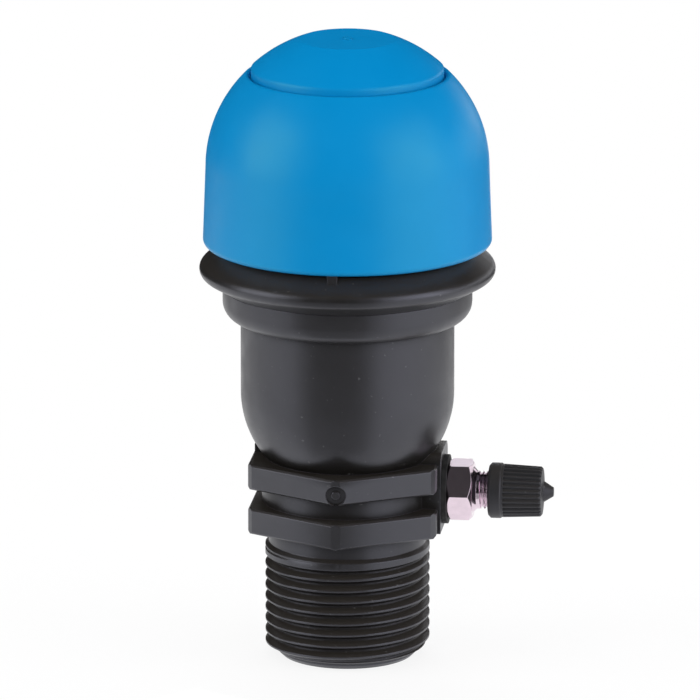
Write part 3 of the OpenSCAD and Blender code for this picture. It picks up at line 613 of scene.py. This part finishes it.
def moulded_plastic(name, deep, pale, worn, roughness, gloss, gloss_tint, specks=0, round_mm=0.25):
    """A satin plastic between two shades, with rubbed edges, painted shade in corners and, if asked,
    dust specks and painted top light.
    """
    finish, tree, shader = start_finish(name, Specular_Tint=(*gloss_tint, 1))
    edges = rounded_normal(tree, round_mm)
    handled = edge_wear(tree, edges, start=0.9, end=0.995)
    rubbed = tint(tree, handled, mottled(tree, SHADE_PATCH_MM, deep, pale), worn)
    colour = specks_and_top_light(tree, rubbed, specks) if specks else rubbed
    # Painted shade: the gloss is turned down in grooves and corners, where shade falls.
    unshaded = openness_for_painted_shade(tree, PAINTED_SHADE_REACH_MM)
    shine = between(tree, unshaded, GLOSS_IN_PAINTED_SHADE * gloss, gloss, start=0.4, end=0.85)
    uneven = between(tree, noise(tree, GLOSS_PATCH_MM, detail=4), *roughness)
    polish = between(tree, handled, 0, EDGE_POLISH, start=0, end=1)
    grain = relief(tree, noise(tree, GRAIN_MM), depth_mm=0.012, strength=0.5, normal=edges)
    sink = relief(tree, noise(tree, SINK_MM, detail=1), depth_mm=0.04, strength=0.25, normal=grain)
    join(tree, colour, shader.inputs["Base Color"])
    join(tree, shine, shader.inputs["Specular IOR Level"])
    join(tree, combine(tree, "SUBTRACT", uneven, polish), shader.inputs["Roughness"])
    join(tree, sink, shader.inputs["Normal"])
    return finish


print("plastic corners keep", GLOSS_IN_PAINTED_SHADE, "of their gloss")

# %% [markdown]
# ## Four plastics
# Each plastic is the same recipe with its own shades, gloss and colour of highlight. The dust
# cap is a softer, duller black than the body. The blue keeps its strong colour because its
# highlights are held back in red and blue, where plain white ones would bleach it.

# %% Make the plastics
finishes = {
    "black_plastic": moulded_plastic(
        "satin_black",
        deep=(0.0115, 0.0105, 0.0095), pale=(0.0140, 0.0130, 0.0120), worn=(0.028, 0.026, 0.030),
        roughness=(0.32, 0.42), gloss=1.0, gloss_tint=(0.83, 0.85, 1.0), specks=0.1),
    "cap_plastic": moulded_plastic(
        "dust_cap_black",
        deep=(0.020, 0.020, 0.021), pale=(0.025, 0.025, 0.026), worn=(0.042, 0.042, 0.045),
        roughness=(0.42, 0.52), gloss=0.45, gloss_tint=(0.88, 0.86, 1.0), specks=0.1),
    "blue_plastic": moulded_plastic(
        "satin_blue",
        deep=(0.001, 0.242, 0.565), pale=(0.002, 0.25, 0.58), worn=(0.006, 0.275, 0.6),
        roughness=(0.36, 0.44), gloss=0.5, gloss_tint=(0.45, 1.0, 0.05), round_mm=0.6),
    "white_plastic": moulded_plastic(
        "natural_white",
        deep=(0.72, 0.72, 0.69), pale=(0.78, 0.78, 0.75), worn=(0.82, 0.82, 0.8),
        roughness=(0.35, 0.45), gloss=0.4, gloss_tint=(1.0, 1.0, 1.0)),
}
print("plastics:", sorted(finishes))

# %% [markdown]
# ## Rubber and metal
# Rubber is dull and a little chalky. The test point is brass with bright nickel plate, which is
# slightly pink and mirrors the room, with faint lathe marks round its axis. The nozzle and the
# valve core are plain turned brass, and the clip and the spring are stainless steel. The lathe
# marks are noise that is squeezed along the axis. Real grooves would be far too fine to model.

# %% Make rubber and metals
LATHE_X = (14, 0.7, 0.7)
RUBBER_DEEP = (0.012, 0.012, 0.012)
RUBBER_BLOOM = (0.03, 0.03, 0.03)


def soft_rubber(name):
    """Dull black rubber with a chalky bloom."""
    finish, tree, shader = start_finish(name, Specular_IOR_Level=0.3)
    edges = rounded_normal(tree, round_mm=0.15)
    skin = relief(tree, noise(tree, feature_mm=0.3), depth_mm=0.01, strength=0.5, normal=edges)
    dull = between(tree, noise(tree, feature_mm=1.2), low=0.6, high=0.8)
    bloom = mottled(tree, feature_mm=2.5, first=RUBBER_DEEP, second=RUBBER_BLOOM)
    join(tree, bloom, shader.inputs["Base Color"])
    join(tree, dull, shader.inputs["Roughness"])
    join(tree, skin, shader.inputs["Normal"])
    return finish


def turned_metal(name, deep, pale, roughness):
    """Bright metal with fine marks that run round the test point's axis."""
    finish, tree, shader = start_finish(name, Metallic=1.0)
    edges = rounded_normal(tree, round_mm=0.12)
    lathe = noise(tree, feature_mm=1.0, stretch=LATHE_X)
    marks = relief(tree, lathe, depth_mm=0.002, strength=0.2, normal=edges)
    uneven = between(tree, noise(tree, feature_mm=0.8, detail=3), *roughness)
    shade = mottled(tree, feature_mm=1.5, first=deep, second=pale)
    join(tree, shade, shader.inputs["Base Color"])
    join(tree, uneven, shader.inputs["Roughness"])
    join(tree, marks, shader.inputs["Normal"])
    return finish


finishes["rubber"] = soft_rubber("black_rubber")
finishes["nickel"] = turned_metal(
    "nickel_plate", deep=(0.78, 0.65, 0.735), pale=(0.84, 0.70, 0.79), roughness=(0.1, 0.2))
finishes["brass"] = turned_metal(
    "turned_brass", deep=(0.62, 0.42, 0.16), pale=(0.72, 0.52, 0.22), roughness=(0.2, 0.32))
finishes["steel"] = turned_metal(
    "stainless_wire", deep=(0.55, 0.55, 0.57), pale=(0.63, 0.63, 0.65), roughness=(0.2, 0.3))
print("finishes:", sorted(finishes))

# %% [markdown]
# ## Dressing the pieces
# The drawing's record says which slot each piece belongs to, so one loop dresses the whole
# valve. Choosing materials piece by piece would work too, until the drawing gains a piece.


# %% Put the finishes on
def coat(piece, slot):
    """Gives a piece the one finish of its slot."""
    piece.data.materials.clear()
    piece.data.materials.append(finishes[slot])


for row in frame["record"]["subparts"]:
    coat(nodes[row["node"]], row["material_slot"])

# %% [markdown]
# ## A cutter for threads
# A screw thread is one groove wound round a cylinder. The groove has two straight flanks and a
# hollow root, and leaves a narrow crest between its turns. Here this section is swept along a
# helix into a cutter, which rises out of the metal at the end. A bump texture would be quicker,
# but the teeth would vanish from the outline.

# %% Make the thread cutter
ROOT_SHARE = 0.9
RISE_SHARE = 1.1


def groove_section(outer_r, pitch, flank, depth, land):
    """Radius and height along one groove: two straight flanks that end in a hollow root."""
    mouth = (pitch - land) / 2
    straight = ROOT_SHARE * depth
    root = mouth - straight * math.tan(flank)
    outside = outer_r + depth / 2
    low = [(outside, -mouth), (outer_r, -mouth), (outer_r - straight, -root)]
    return low + [(outer_r - depth, 0)] + [(r, -h) for r, h in reversed(low)]


def helix_cutter(section, depth, pitch, start, turns, fade_turns, steps_per_turn):
    """The groove's section wound right-handed about Z, rising clear of the metal at its end."""
    cutter = bmesh.new()
    rings = []
    for k in range(round(turns * steps_per_turn) + 1):
        turn = k / steps_per_turn
        angle = 2 * math.pi * turn
        across, along = math.cos(angle), math.sin(angle)
        clear = max(0.0, (turn - turns + fade_turns) / fade_turns) * depth * RISE_SHARE
        rings.append([
            cutter.verts.new(((r + clear) * across, (r + clear) * along, start + pitch * turn + h))
            for r, h in section
        ])
    count = len(section)
    for a, b in zip(rings, rings[1:]):
        for i in range(count):
            j = (i + 1) % count
            cutter.faces.new((a[i], a[j], b[j], b[i]))
    cutter.faces.new(rings[0])
    cutter.faces.new(list(reversed(rings[-1])))
    bmesh.ops.recalc_face_normals(cutter, faces=cutter.faces)
    return cutter


print("thread cutter: root hollow below", ROOT_SHARE, "of the depth")

# %% [markdown]
# ## Cutting a thread
# The cutter is taken away from a copy of the drawn piece, which is what a die does to a blank.
# The copy is welded first, because a cut needs a closed skin. It then stands in for the drawn
# piece, which itself stays as it was drawn.

# %% Prepare the cut
WELD_GAP = 0.002 * MM
SHARP_FROM = math.radians(32)


def welded_copy(node):
    """A closed copy of a drawn piece, with the seams between its faces joined."""
    welded = bmesh.new()
    welded.from_mesh(nodes[node].data)
    bmesh.ops.remove_doubles(welded, verts=welded.verts, dist=WELD_GAP)
    return welded


def as_object(name, shape):
    """Turns a bmesh into an object in the scene, without the drawing's stored directions."""
    mesh = bpy.data.meshes.new(name)
    shape.to_mesh(mesh)
    shape.free()
    if "custom_normal" in mesh.attributes:
        mesh.attributes.remove(mesh.attributes["custom_normal"])
    made = bpy.data.objects.new(name, mesh)
    bpy.context.scene.collection.objects.link(made)
    return made


def cut_thread(node, name, body, slot, cutter, place):
    """Stands a threaded copy in for a drawn piece."""
    blank = as_object(name, welded_copy(node))
    tool = as_object(name + "_cutter", cutter)
    tool.matrix_world = place
    cut = blank.modifiers.new("thread", "BOOLEAN")
    cut.object = tool
    cut.operation = "DIFFERENCE"
    cut.solver = "EXACT"
    bpy.context.view_layer.update()
    after_cut = blank.evaluated_get(bpy.context.evaluated_depsgraph_get())
    threaded = bpy.data.meshes.new_from_object(after_cut)
    blank.modifiers.clear()
    blank.data = threaded
    bpy.data.objects.remove(tool)
    coat(blank, slot)
    threaded.shade_smooth()
    threaded.set_sharp_from_angle(angle=SHARP_FROM)
    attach(blank, body)
    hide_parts(node)
    print(name, "faces:", len(threaded.polygons))


print("edges stay sharp from", round(math.degrees(SHARP_FROM)), "degrees")

# %% [markdown]
# ## The pipe thread
# The spigot carries a one inch pipe thread: eleven turns to the inch, with an angle of fifty
# five degrees between its flanks, right-handed. Its outside radius comes from the drawn mount,
# so the thread fits the same socket as the drawing. The groove comes in from below the end of
# the spigot, as a die does, and fades out under the plain neck.

# %% Cut the pipe thread
INCH = 25.4 * MM
PIPE_TURNS_PER_INCH = 11
PIPE_PITCH = INCH / PIPE_TURNS_PER_INCH
PIPE_FLANK = math.radians(55 / 2)
DEPTH_TO_PITCH = 0.6403
PIPE_DEPTH = DEPTH_TO_PITCH * PIPE_PITCH
PIPE_LAND = 0.36 * MM
PIPE_STEPS = 72
FIRST_GROOVE = 4.84 * MM
LAST_GROOVE = 23.0 * MM
LEAD_TURNS = 3
FADE_TURNS = 1.2

mounts = {m["name"]: m for m in frame["record"]["mounts"]}
pipe_r = mounts["inlet_thread"]["dims"]["r_mm"] * MM
pipe_start = FIRST_GROOVE - LEAD_TURNS * PIPE_PITCH
pipe_turns = (LAST_GROOVE - pipe_start) / PIPE_PITCH
pipe_section = groove_section(pipe_r, PIPE_PITCH, PIPE_FLANK, PIPE_DEPTH, PIPE_LAND)
pipe_cutter = helix_cutter(
    pipe_section, PIPE_DEPTH, PIPE_PITCH, pipe_start, pipe_turns, FADE_TURNS, PIPE_STEPS)
cut_thread("valve_body", "threaded_body", "valve_body", "black_plastic", pipe_cutter, Matrix.Identity(4))
print("pipe thread: pitch", round(PIPE_PITCH / MM, 3), "mm, turns", round(pipe_turns, 1))

# %% [markdown]
# ## The test point's thread
# The dust cap screws onto the same thread as a tyre valve: thirty two turns to the inch, with an
# angle of sixty degrees between its flanks. Only a few turns show beside the cap, but the whole
# stem is cut, because the cap comes off. The stem's size is measured on the drawn piece, so the
# thread follows when the drawing changes.

# %% Cut the stem thread
STEM_TURNS_PER_INCH = 32
STEM_PITCH = INCH / STEM_TURNS_PER_INCH
STEM_FLANK = math.radians(60 / 2)
STEM_DEPTH = 0.45 * MM
STEM_LAND = 0.14 * MM
STEM_STEPS = 48
STEM_FADE_TURNS = 0.1
SHOULDER = 1.2 * MM
HEXAGON_FROM = 1.3

fitting_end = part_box("test_point_body")[1].x
cap_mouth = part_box("dust_cap")[0].x
fitting_points = [v.co for v in nodes["test_point_body"].data.vertices]
from_axis = [math.hypot(p.y, p.z - port_height) for p in fitting_points]
stem_r = max(r for p, r in zip(fitting_points, from_axis) if p.x > cap_mouth)
hexagon_end = max(p.x for p, r in zip(fitting_points, from_axis) if r > HEXAGON_FROM * stem_r)
stem_start = hexagon_end + SHOULDER
stem_turns = (fitting_end - stem_start) / STEM_PITCH + 1
stem_section = groove_section(stem_r, STEM_PITCH, STEM_FLANK, STEM_DEPTH, STEM_LAND)
stem_cutter = helix_cutter(
    stem_section, STEM_DEPTH, STEM_PITCH, stem_start, stem_turns, STEM_FADE_TURNS, STEM_STEPS)
along_stem = Matrix.Translation((0, 0, port_height)) @ Matrix.Rotation(math.pi / 2, 4, "Y")
cut_thread("test_point_body", "threaded_test_point", "valve_body", "nickel", stem_cutter, along_stem)
print("stem thread: radius", round(stem_r / MM, 3), "mm, turns", round(stem_turns, 1))

# %% [markdown]
# ## A copy of the spring
# Inside the test point a small coil of stainless wire holds the pin shut. When the pin is pressed
# in, the coil must shorten with it, or the pin would pass through the wire. The drawn coil is
# stiff, so a welded copy of it takes its place, in stainless steel and carried by the valve body.

giving_spring = as_object("giving_spring", welded_copy("core_spring"))
coat(giving_spring, "steel")
giving_spring.data.shade_smooth()
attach(giving_spring, "valve_body")
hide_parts("core_spring")
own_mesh(giving_spring)
